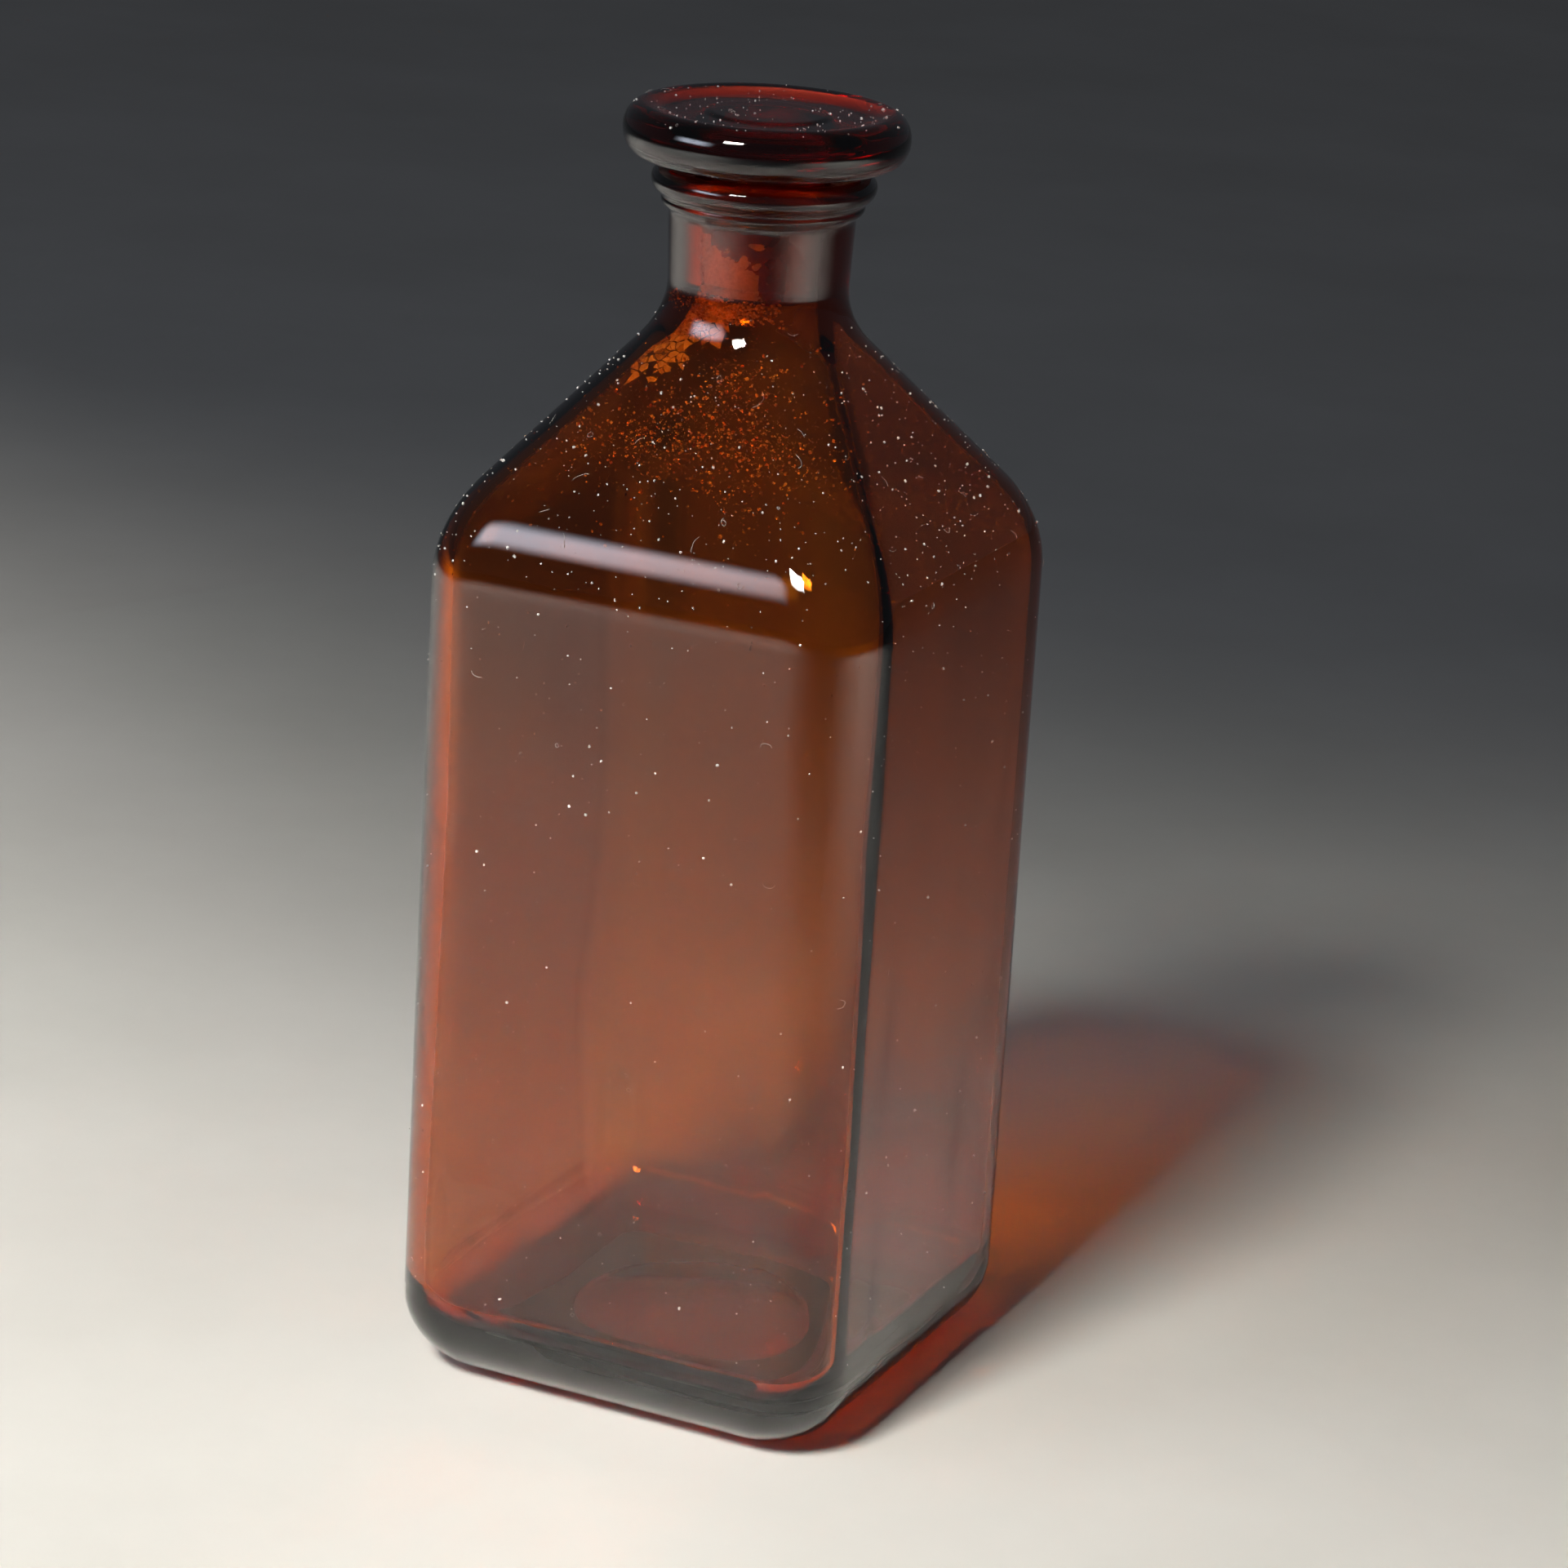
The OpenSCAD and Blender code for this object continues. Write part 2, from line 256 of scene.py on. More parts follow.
def stopper_line():
    """(radius, height) round the stopper: core, tip, ground plug, disc, rim and dish."""
    rim_x = DISC_R - DISC_ROUND
    half_t = DISC_T / 2
    core_top_r = CORE_R - JOINT_TAPER * (CORE_H - CORE_R)
    fillet = DISC_Z - LIP_TOP - FILLET_REST
    low = PLUG_Z + TIP_ROUND
    plug_steps, dish_steps, slope_steps = 30, 16, 8
    line = arc(0, PLUG_Z + CORE_H - core_top_r, core_top_r, core_top_r, 84, 0, 14)
    line += between(line[-1], (CORE_R, low), 10)
    line += arc(CORE_R + TIP_ROUND, low, TIP_ROUND, TIP_ROUND, 180, 270, 6)
    line += arc(plug_r(PLUG_Z) - TIP_ROUND, low, TIP_ROUND, TIP_ROUND, -90, 0, 6)
    for i in range(1, plug_steps + 1):
        z = low + (LIP_TOP - low) * i / plug_steps
        line.append((plug_r(z), z))
    line += arc(plug_r(LIP_TOP) + fillet, DISC_Z - fillet, fillet, fillet, 172, 92, 10)
    line += between((line[-1][0], DISC_Z), (rim_x, DISC_Z), 10)
    line += arc(rim_x, DISC_Z + half_t, DISC_ROUND, half_t, -90, 90, 48)
    for i in range(1, dish_steps + 1):
        way = i / dish_steps
        drop = DISH_H * (1 - math.cos(math.pi * way)) / 2
        line.append((rim_x - (rim_x - DISH_R) * way, DISC_TOP - drop))
    floor_z = DISC_TOP - DISH_H
    slope_foot = (BOSS_R + BOSS_SLOPE, floor_z)
    line += between((DISH_R, floor_z), slope_foot, 9) + [slope_foot]
    for i in range(1, slope_steps + 1):
        way = i / slope_steps
        rise = BOSS_H * (1 - math.cos(math.pi * way)) / 2
        line.append((BOSS_R + BOSS_SLOPE * (1 - way), floor_z + rise))
    line += between((BOSS_R, floor_z + BOSS_H), (0, floor_z + BOSS_H), 12)
    return line


# ---------------------------------------------------------------- mesh building
def new_object(name, vertices, faces, smooth=True):
    """Links an object with this mesh to the scene."""
    mesh = bpy.data.meshes.new(name)
    mesh.from_pydata([tuple(v) for v in vertices], [], faces)
    mesh.update()
    if smooth:
        mesh.polygons.foreach_set("use_smooth", [True] * len(mesh.polygons))
    obj = bpy.data.objects.new(name, mesh)
    bpy.context.scene.collection.objects.link(obj)
    return obj


def closed_loft(name, rings, first_pole, last_pole):
    """A closed mesh through rings of points, closed at both ends by a single point."""
    count = len(rings[0])
    vertices = [p for ring in rings for p in ring] + [first_pole, last_pole]
    start, end = len(vertices) - 2, len(vertices) - 1
    faces = []
    for i in range(len(rings) - 1):
        low, high = i * count, (i + 1) * count
        for j in range(count):
            k = (j + 1) % count
            faces.append((low + j, low + k, high + k, high + j))
    final = (len(rings) - 1) * count
    for j in range(count):
        k = (j + 1) % count
        faces.append((start, k, j))
        faces.append((final + j, final + k, end))
    return new_object(name, vertices, faces)


def section_ring(section):
    """The ring of points of one (half width, corner radius, height) section."""
    w, r, z = section
    radius = reach(w, r, ANGLES)
    return np.stack([radius * np.cos(ANGLES), radius * np.sin(ANGLES), np.full(RING_POINTS, z)], 1)


def set_marks(obj, name, values):
    """Gives every vertex of an object a number that its material can read."""
    obj.data.attributes.new(name, "FLOAT", "POINT").data.foreach_set("value", values)


def mark_ground(obj, low, high, radius_at):
    """Marks the ground part of a joint, for the material, and returns the marks."""
    tolerance = 0.02 * MM
    marks = []
    for v in obj.data.vertices:
        r = math.hypot(v.co.x, v.co.y)
        on_joint = low < v.co.z < high and abs(r - radius_at(v.co.z)) < tolerance
        marks.append(1.0 if on_joint else 0.0)
    set_marks(obj, "ground", marks)
    return marks


# Depths in millimetres of the slow and of the quick unevenness of the glass
INSIDE_WAVES = (0.30, 0.07)
OUTSIDE_WAVES = (0.05, 0.012)


def wave(p, inside):
    """How far the glass stands out of its nominal surface at p, from the way it was blown.

    It fades out towards the neck and, on the outside, towards the foot."""
    shift = Vector((3.1, 7.7, 1.3 if inside else 9.1))
    slow = noise.noise(Vector((p.x * 45, p.y * 45, p.z * 28)) + shift)
    quick = noise.noise(Vector((p.x * 130, p.y * 130, p.z * 60)) + Vector((5.5, 2.2, 4.4)))
    slow_depth, quick_depth = INSIDE_WAVES if inside else OUTSIDE_WAVES
    depth = slow_depth * slow + quick_depth * quick
    fade = min(1.0, max(0.0, (NECK_ROOT_Z + 4 * MM - p.z) / (20 * MM)))
    if not inside:
        fade *= min(1.0, p.z / (10 * MM))
    return depth * MM * fade


def uneven(obj, marks, inside_from):
    """Gives blown glass its slight unevenness: a little outside, more on the inside."""
    mesh = obj.data
    normals = [v.normal.copy() for v in mesh.vertices]
    for i, v in enumerate(mesh.vertices):
        if not marks[i]:
            v.co += normals[i] * wave(v.co, i >= inside_from)
    mesh.update()


def make_bottle():
    """The bottle as one closed mesh: outside, lip, bore and inside."""
    outer = outer_sections() + neck_sections()
    inner = inner_sections()
    rings = [section_ring(s) for s in outer + inner]
    obj = closed_loft("bottle_glass", rings, (0, 0, PUSH_UP_H), (0, 0, BASE_T))
    marks = mark_ground(obj, BORE_ROOT_Z + 0.5 * MM, LIP_TOP - 1.5 * MOUTH_FLARE, bore_r)
    uneven(obj, marks, len(outer) * RING_POINTS)
    return obj


def make_stopper():
    """The stopper as one closed turned mesh, from the end of its core to its boss."""
    segments = 192
    turn = np.arange(segments) * 2 * math.pi / segments
    rings = [np.stack([x * np.cos(turn), x * np.sin(turn), np.full(segments, z)], 1)
             for x, z in stopper_line()]
    core_end, boss_top = PLUG_Z + CORE_H, DISC_TOP - DISH_H + BOSS_H
    obj = closed_loft("stopper_glass", rings, (0, 0, core_end), (0, 0, boss_top))
    mark_ground(obj, PLUG_Z + TIP_ROUND + 0.1 * MM, LIP_TOP + 0.1 * MM, plug_r)
    return obj


# ---------------------------------------------------------------- places on the glass
# Half width, hip radius, neck radius, neck root fillet and corner radius of the two forms
OUTSIDE = (HALF_W, HIP_R, NECK_ROOT_R, ROOT_FILLET_R, CORNER_R)
INSIDE = (INNER_HALF_W, INNER_HIP_R, BORE_ROOT_R, INNER_FILLET_R, INNER_CORNER_R)


def half_at(z, form):
    """Half width of a bottle form at height z."""
    half, hip, neck, fillet, _ = form
    top = root_z(half, hip, neck, fillet)
    hip_end_z = HIP_Z + hip * math.sin(HIP_TURN)
    if z <= HIP_Z:
        return half
    if z <= hip_end_z:
        return half - hip + math.sqrt(hip ** 2 - (z - HIP_Z) ** 2)
    if z <= top - fillet * math.sin(HIP_TURN):
        return half - hip + hip * math.cos(HIP_TURN) - (z - hip_end_z) / math.tan(SHOULDER_SLOPE)
    if z <= top:
        return neck + fillet - math.sqrt(fillet ** 2 - (top - z) ** 2)
    return neck


def wall_point(form, angle, z, clear):
    """A point a small distance clear of the glass, in direction angle (degrees) at height z."""
    half, _, neck, _, corner = form
    w = half_at(z, form)
    turn = math.radians(angle)
    radius = float(reach(w, blended_r(w, half, corner, neck), turn))
    on_glass = Vector((radius * math.cos(turn), radius * math.sin(turn), z))
    off = clear + wave(on_glass, form is INSIDE)
    radius += -off if form is INSIDE else off
    return Vector((radius * math.cos(turn), radius * math.sin(turn), z))


# ---------------------------------------------------------------- dried contents and dust
BOX_SIDES = ((0, 2, 3, 1), (4, 5, 7, 6), (0, 1, 5, 4), (2, 6, 7, 3), (0, 4, 6, 2), (1, 3, 7, 5))


def add_grain(vertices, faces, middle, size, rng):
    """Adds a small, sharp-edged grain: a box with uneven corners, turned at random."""
    turn = Euler([rng.uniform(0, math.tau) for _ in range(3)]).to_matrix()
    start = len(vertices)
    stretch = Vector([rng.uniform(0.55, 1.0) for _ in range(3)])
    for i in range(8):
        corner = Vector([(0.5 if i >> axis & 1 else -0.5) * stretch[axis] for axis in range(3)])
        corner *= rng.uniform(0.8, 1.1)
        vertices.append(middle + turn @ (corner * size))
    for side in BOX_SIDES:
        faces.append([start + i for i in side])


def grains(name, count, place, size, rng):
    """One object of many grains; place(rng) gives each one's middle, size(rng) its edge."""
    vertices, faces, tones = [], [], []
    for _ in range(count):
        add_grain(vertices, faces, place(rng), size(rng), rng)
        tones += [rng.random()] * 8
    obj = new_object(name, vertices, faces, smooth=False)
    set_marks(obj, "tone", tones)
    return obj


def nearer_part(cell, site, other):
    """The part of a polygon that lies nearer to site than to other."""
    middle, way = (site + other) / 2, other - site
    kept = []
    for i, a in enumerate(cell):
        b = cell[(i + 1) % len(cell)]
        side_a, side_b = (a - middle).dot(way), (b - middle).dot(way)
        if side_a <= 0:
            kept.append(a)
        if side_a * side_b < 0:
            kept.append(a + (b - a) * (side_a / (side_a - side_b)))
    return kept


def cracked_cells(width, height, pitch, rng):
    """A crackle pattern over a rectangle: (site, polygon) pairs."""
    count = int(width * height / pitch ** 2)
    sites = [Vector((rng.random() * width, rng.random() * height)) for _ in range(count)]
    cells = []
    for site in sites:
        reach_out = 2 * pitch
        cell = [site + Vector(c) * reach_out for c in ((-1, -1), (1, -1), (1, 1), (-1, 1))]
        for other in sites:
            if other is not site and (other - site).length < 2.8 * pitch:
                cell = nearer_part(cell, site, other)
        cells.append((site, cell))
    return cells


def ragged(cell, middle, crack, rng):
    """The outline of a flake: its cell drawn in by half a crack, with broken edges."""
    outline = []
    for i, a in enumerate(cell):
        b = cell[(i + 1) % len(cell)]
        for step in (0, 0.34, 0.67):
            p = a.lerp(b, step)
            away = p - middle
            shrink = crack / 2 * rng.uniform(0.5, 1.6)
            outline.append(middle + away * max(0.3, 1 - shrink / max(away.length, crack)))
    return outline


def make_crust():
    """Crackled flakes of dried contents on the inside of the left shoulder."""
    rng = random.Random(5)
    from_angle, to_angle = -162, -94
    top = 161.4 * MM
    mean_r = 14.5 * MM
    fall = 0.8                        # height lost for each unit of length down the shoulder
    pitch, crack = 1.0 * MM, 0.22 * MM
    missing = 0.10                    # share of the flakes that have fallen off
    narrow_from = 0.8                 # share of the width from which the crust reaches less far
    width = math.radians(to_angle - from_angle) * mean_r
    depth = 13.0 * MM
    vertices, faces, tones = [], [], []
    for site, cell in cracked_cells(width, depth, pitch, rng):
        across, down = site.x / width, site.y / depth
        edge = 0.62 + 0.3 * math.sin(math.pi * min(1, across * 1.25)) + rng.uniform(-0.12, 0.12)
        if across >= narrow_from:
            edge *= 0.55
        if down > edge or rng.random() < missing or len(cell) < 3:
            continue
        outline = ragged(cell, site, crack, rng)
        thick = rng.uniform(0.18, 0.42) * MM
        lift = rng.uniform(0.03, 0.25) * MM
        curl = rng.uniform(0.0, 0.35) * MM
        tilt = Vector((rng.uniform(-0.14, 0.14), rng.uniform(-0.14, 0.14)))
        start, n = len(vertices), len(outline)
        for layer, scale in ((0, 1.0), (1, 0.86)):
            for p in outline + [site]:
                q = site.lerp(p, scale)
                away = (q - site).length / (0.8 * MM)
                rise = curl * away ** 2 * 0.5 + tilt.dot(q - site)
                clear = max(0.04 * MM, 0.08 * MM + lift + layer * thick + rise)
                angle = from_angle + math.degrees(q.x / mean_r)
                vertices.append(wall_point(INSIDE, angle, top - q.y * fall, clear))
        low, high = start + n, start + 2 * n + 1
        for i in range(n):
            j = (i + 1) % n
            a, b = start + i, start + j
            c, d = start + n + 1 + j, start + n + 1 + i
            faces += [(a, b, low), (c, d, high), (b, a, d, c)]
        tones += [rng.random()] * (2 * n + 2)
    obj = new_object("crust_flakes", vertices, faces, smooth=False)
    set_marks(obj, "tone", tones)
    return obj


def make_neck_grains():
    """A band of coarse grains round the left and front of the inside of the neck root."""
    def place(rng):
        angle = rng.triangular(-178, -38, -110)
        z = rng.triangular(160.6, 165.0, 163.0) * MM
        return wall_point(INSIDE, angle, z, rng.uniform(0.1, 0.5) * MM)

    def size(rng):
        return rng.uniform(0.16, 0.6) * MM

    return grains("neck_grains", 900, place, size, random.Random(11))


# Drifts of crystals inside the front shoulder: direction and height of the middle, spread, number
CRYSTAL_DRIFTS = (
    (-84, 146.0, 22, 3.0, 900),
    (-110, 145.0, 10, 2.0, 340),
    (-57, 145.5, 9, 1.7, 340),
    (-72, 152.5, 14, 3.2, 480),
    (-68, 139.0, 6, 2.4, 160),
    (-85, 147.0, 32, 7.0, 480),
)


def make_crystals():
    """Fine crystals that glint on the inside of the front shoulder."""
    rng = random.Random(23)
    places = [(angle, z, a_spread, z_spread)
              for angle, z, a_spread, z_spread, count in CRYSTAL_DRIFTS for _ in range(count)]

    def place(rng):
        angle, z, a_spread, z_spread = places.pop()
        z = min(159.0, max(128.0, rng.gauss(z, z_spread)))
        return wall_point(INSIDE, rng.gauss(angle, a_spread), z * MM, rng.uniform(0.12, 0.4) * MM)

    def size(rng):
        return (0.10 + 0.42 * rng.random() ** 5) * MM

    return grains("shoulder_crystals", len(places), place, size, rng)


# The thick film's tone picks near-black colours: partly the dried contents' own colour, partly
# painted shade for a dark reflection on the front of the neck.
THICK_FILM_AND_SHADE, THIN_FILM = 0.15, 0.85    # tones of the film in the ground joint


def film_and_shade_tone(angle, z):
    """Tone of the film in the ground joint, None where there is none.

    angle is in degrees from the film's middle, z in millimetres. The thick film hangs down from
    the top in a slanting edge and reaches the bottom only on the right; the rest is thin. The thick
    film's near-black tone is partly the dried contents' own colour and partly painted shade,
    standing in for a dark reflection on the front of the neck."""
    thick_left, full_from, thick_right = -34, 9, 32
    thick_top, full_bottom = 174.6, 165.2
    slant_start, slant_from, slant = 172.6, -33, 0.09     # height, angle and fall per degree
    thin_left, thin_right = -44, 14
    thin_top, thin_bottom = 173.9, 164.8
    if angle > thick_right:
        return None
    lower_edge = slant_start - slant * (angle - slant_from)
    if angle > full_from:
        lower_edge = full_bottom
    rough = noise.noise(Vector((angle * 0.16, z * 1.1, 0.5))) * 1.6
    rough += noise.noise(Vector((angle * 0.6, z * 4.0, 7.5))) * 0.8
    hole = noise.noise(Vector((angle * 0.11, z * 0.55, 31.7))) > 0.33
    if angle > thick_left and lower_edge + rough < z < thick_top + 0.3 * rough and not hole:
        return THICK_FILM_AND_SHADE
    across = thin_left < angle + 3 * rough < thin_right
    return THIN_FILM if across and thin_bottom + 0.4 * rough < z < thin_top else None


def make_joint_film():
    """A thin, ragged film of dried contents between the ground bore and the plug. Its thick,
    near-black part is partly painted shade, standing in for a dark reflection on the front of the
    neck.
    """
    step_a, step_z = 0.9, 0.14
    columns, rows = 100, 72
    middle_a, first_z = -74.0, 165.0
    found = {(i, j): film_and_shade_tone((i - columns / 2) * step_a, first_z + j * step_z)
             for i in range(columns) for j in range(rows)}
    filled = {place for place, tone in found.items() if tone is not None}
    for i, j in sorted(filled):
        for di, dj in ((1, 1), (1, -1)):
            if (i + di, j + dj) in filled and (i + di, j) not in filled:
                filled.add((i, j + dj))
    outer, inner = 0.012 * MM, 0.034 * MM     # how far the film's two faces lie inside the bore
    vertices, faces, tones, index = [], [], [], {}

    def corner(i, j, depth):
        """Number of the vertex at a grid place, at that depth inside the bore."""
        key = (i, j, depth)
        if key not in index:
            z = (first_z + j * step_z) * MM
            angle = math.radians(middle_a + (i - columns / 2) * step_a)
            r = bore_r(z) - depth
            index[key] = len(vertices)
            vertices.append((r * math.cos(angle), r * math.sin(angle), z))
            tones.append(found.get((i, j)) or THICK_FILM_AND_SHADE)
        return index[key]

    for i, j in sorted(filled):
        square = ((i, j), (i + 1, j), (i + 1, j + 1), (i, j + 1))
        faces.append([corner(a, b, outer) for a, b in square])
        faces.append([corner(a, b, inner) for a, b in reversed(square)])
        for k, (di, dj) in enumerate(((0, -1), (1, 0), (0, 1), (-1, 0))):
            if (i + di, j + dj) not in filled:
                (a, b), (c, d) = square[k], square[(k + 1) % 4]
                faces.append([corner(c, d, outer), corner(a, b, outer),
                              corner(a, b, inner), corner(c, d, inner)])
    obj = new_object("joint_film_and_shade", vertices, faces, smooth=False)
    set_marks(obj, "tone", tones)
    return obj


def disc_top_z(r):
    """Height of the top of the disc at radius r."""
    rim_x = DISC_R - DISC_ROUND
    if r > rim_x:
        return DISC_TOP - DISC_T / 2 * (1 - math.sqrt(max(0, 1 - ((r - rim_x) / DISC_ROUND) ** 2)))
    way = min(1, (rim_x - r) / (rim_x - DISH_R))
    rise = BOSS_H if r < BOSS_R else 0
    return DISC_TOP - DISH_H * (1 - math.cos(math.pi * way)) / 2 + rise


DUST_ON_SIDES = 0.45                  # share of the bottle's dust that lies below its shoulders


def on_bottle(rng):
    """A place for dust on the outside of the bottle, as (angle, z): most often on the shoulders."""
    on_sides = rng.random() < DUST_ON_SIDES
    z = rng.uniform(14, 124) if on_sides else rng.triangular(122, 164, 134)
    return rng.uniform(0, 360), z * MM


def on_disc(rng):
    """A place for dust on the top of the disc, as (angle, radius)."""
    return rng.uniform(0, 360), math.sqrt(rng.random()) * (DISC_R - 0.8 * MM)


def disc_point(angle, r, clear):
    """A point a small distance above the disc."""
    turn = math.radians(angle)
    return Vector((r * math.cos(turn), r * math.sin(turn), disc_top_z(r) + clear))


def outside_point(angle, z, clear):
    """A point a small distance outside the bottle."""
    return wall_point(OUTSIDE, angle, z, clear)


def make_specks(name, count, spot, point, seed):
    """Specks of dust. spot(rng) picks where each one lies and point turns that into a point."""
    def place(rng):
        return point(*spot(rng), 0.03 * MM)

    def size(rng):
        return (0.13 + 0.30 * rng.random() ** 4) * MM

    return grains(name, count, place, size, random.Random(seed))


def make_lint(name, count, spot, point, along, seed):
    """Thin curled fibres that lie on the glass. spot and point are as for specks, and
    along(place) is the distance from the axis, which turns a length into an angle."""
    rng = random.Random(seed)
    vertices, faces = [], []
    sides, steps = 5, 14
    for _ in range(count):
        angle, place = spot(rng)
        heading, bend = rng.uniform(0, math.tau), rng.uniform(-0.5, 0.5)
        length, thick = rng.uniform(0.6, 2.6) * MM, rng.uniform(0.018, 0.035) * MM
        line = []
        for i in range(steps + 1):
            line.append(point(angle, place, (0.05 + 0.12 * math.sin(math.pi * i / steps)) * MM))
            heading += bend + rng.uniform(-0.25, 0.25)
            angle += math.degrees(length / steps * math.cos(heading) / along(place))
            place += length / steps * math.sin(heading)
        start = len(vertices)
        for i, p in enumerate(line):
            way = (line[min(i + 1, steps)] - line[max(i - 1, 0)]).normalized()
            side = way.orthogonal().normalized()
            other = way.cross(side)
            for k in range(sides):
                turn = math.tau * k / sides
                vertices.append(p + (side * math.cos(turn) + other * math.sin(turn)) * thick)
        for i in range(steps):
            for k in range(sides):
                a, b = start + i * sides + k, start + i * sides + (k + 1) % sides
                faces.append((a, b, b + sides, a + sides))
        faces.append([start + k for k in reversed(range(sides))])
        faces.append([start + steps * sides + k for k in range(sides)])
    return new_object(name, vertices, faces)


# ---------------------------------------------------------------- materials
def node_material(name):
    """A new material with a Principled shader: (material, node tree, shader, output node)."""
    material = bpy.data.materials.new(name)
    material.use_nodes = True
    tree = material.node_tree
    tree.nodes.clear()
    output = tree.nodes.new("ShaderNodeOutputMaterial")
    shader = tree.nodes.new("ShaderNodeBsdfPrincipled")
    tree.links.new(shader.outputs["BSDF"], output.inputs["Surface"])
    return material, tree, shader, output


def noise_node(tree, scale, detail=3.0, rough=0.5):
    """A noise texture in the object's own coordinates."""
    coordinates = tree.nodes.new("ShaderNodeTexCoord")
    texture = tree.nodes.new("ShaderNodeTexNoise")
    texture.inputs["Scale"].default_value = scale
    texture.inputs["Detail"].default_value = detail
    texture.inputs["Roughness"].default_value = rough
    tree.links.new(coordinates.outputs["Object"], texture.inputs["Vector"])
    return texture


def range_node(tree, source, low, high, to_low, to_high):
    """Maps source from one range to another."""
    node = tree.nodes.new("ShaderNodeMapRange")
    node.inputs["From Min"].default_value = low
    node.inputs["From Max"].default_value = high
    node.inputs["To Min"].default_value = to_low
    node.inputs["To Max"].default_value = to_high
    tree.links.new(source, node.inputs["Value"])
    return node


def math_node(tree, operation, a, b):
    """A calculation with two inputs, each a number or a socket."""
    node = tree.nodes.new("ShaderNodeMath")
    node.operation = operation
    for i, value in enumerate((a, b)):
        if isinstance(value, (int, float)):
            node.inputs[i].default_value = value
        else:
            tree.links.new(value, node.inputs[i])
    return node


GLASS_IOR = 1.52
GROUND_ROUGH = 0.08                   # roughness of the ground joint
# How fine the smudges, the ripples of the surface and the grain of the ground joint are
SMUDGE_SCALE, RIPPLE_SCALE, GROUND_SCALE = 55, 90, 4000


def glass_material(name, passed, thickness):
    """Coloured clear glass. passed is the share of red, green and blue light that gets
    through the given thickness; the glass is frosted where its ground mark is 1."""
    material, tree, shader, output = node_material(name)
    shader.inputs["Base Color"].default_value = (1, 1, 1, 1)
    shader.inputs["IOR"].default_value = GLASS_IOR
    shader.inputs["Transmission Weight"].default_value = 1.0
    shader.inputs["Coat Weight"].default_value = 0.6
    shader.inputs["Coat Roughness"].default_value = 0.02

    taken = [-math.log(share) / thickness for share in passed]
    density = max(taken)
    volume = tree.nodes.new("ShaderNodeVolumeAbsorption")
    volume.inputs["Color"].default_value = (*[1 - t / density for t in taken], 1)
    volume.inputs["Density"].default_value = density
    tree.links.new(volume.outputs["Volume"], output.inputs["Volume"])

    ground = tree.nodes.new("ShaderNodeAttribute")
    ground.attribute_name = "ground"
    smudges = noise_node(tree, SMUDGE_SCALE, 5.0)
    smudge = range_node(tree, smudges.outputs["Fac"], 0.45, 0.75, 0.0, 0.05)
    frost = math_node(tree, "MULTIPLY", ground.outputs["Fac"], GROUND_ROUGH)
    rough = math_node(tree, "ADD", smudge.outputs["Result"], frost.outputs["Value"])
    tree.links.new(rough.outputs["Value"], shader.inputs["Roughness"])

    ripple = noise_node(tree, RIPPLE_SCALE, 2.0)
    grain = noise_node(tree, GROUND_SCALE, 2.0)
    grain_height = math_node(tree, "MULTIPLY", grain.outputs["Fac"], ground.outputs["Fac"])
    height = math_node(tree, "ADD", ripple.outputs["Fac"], grain_height.outputs["Value"])
    bump = tree.nodes.new("ShaderNodeBump")
    bump.inputs["Strength"].default_value = 0.25
    bump.inputs["Distance"].default_value = 0.1 * MM
    tree.links.new(height.outputs["Value"], bump.inputs["Height"])
    tree.links.new(bump.outputs["Normal"], shader.inputs["Normal"])
    return material


def toned_material(name, colors, rough, gloss, grain):
    """An opaque material whose colour runs through colors by each piece's own tone, broken up
    by a fine noise. grain is the scale of its bumps."""
    material, tree, shader, _ = node_material(name)
    tone = tree.nodes.new("ShaderNodeAttribute")
    tone.attribute_name = "tone"
    speckle = noise_node(tree, grain, 4.0, 0.6)
    spread = range_node(tree, speckle.outputs["Fac"], 0.25, 0.75, -0.3, 0.3)
    mixed = math_node(tree, "ADD", tone.outputs["Fac"], spread.outputs["Result"])
    ramp = tree.nodes.new("ShaderNodeValToRGB")
    while len(ramp.color_ramp.elements) < len(colors):
        ramp.color_ramp.elements.new(0.5)
    for i, color in enumerate(colors):
        ramp.color_ramp.elements[i].position = i / (len(colors) - 1)
        ramp.color_ramp.elements[i].color = (*color, 1)
    tree.links.new(mixed.outputs["Value"], ramp.inputs["Fac"])
    tree.links.new(ramp.outputs["Color"], shader.inputs["Base Color"])
    roughness = range_node(tree, speckle.outputs["Fac"], 0.3, 0.7, rough - 0.1, rough + 0.1)
    tree.links.new(roughness.outputs["Result"], shader.inputs["Roughness"])
    shader.inputs["Specular IOR Level"].default_value = gloss
    bump = tree.nodes.new("ShaderNodeBump")
    bump.inputs["Strength"].default_value = 0.6
    bump.inputs["Distance"].default_value = 0.05 * MM
    tree.links.new(speckle.outputs["Fac"], bump.inputs["Height"])
    tree.links.new(bump.outputs["Normal"], shader.inputs["Normal"])
    return material


FLOOR_COLOR = (0.66, 0.645, 0.60)


def floor_material():
    """A plain, pale, very slightly mottled floor."""
    material, tree, shader, _ = node_material("studio_floor")
    mottle = noise_node(tree, 9, 6.0, 0.6)
    mix = tree.nodes.new("ShaderNodeCombineColor")
    for channel, pale in zip(("Red", "Green", "Blue"), FLOOR_COLOR):
        tint = range_node(tree, mottle.outputs["Fac"], 0.3, 0.7, pale - 0.04, pale + 0.04)
        tree.links.new(tint.outputs["Result"], mix.inputs[channel])
    tree.links.new(mix.outputs["Color"], shader.inputs["Base Color"])
    shader.inputs["Roughness"].default_value = 0.7
    return material


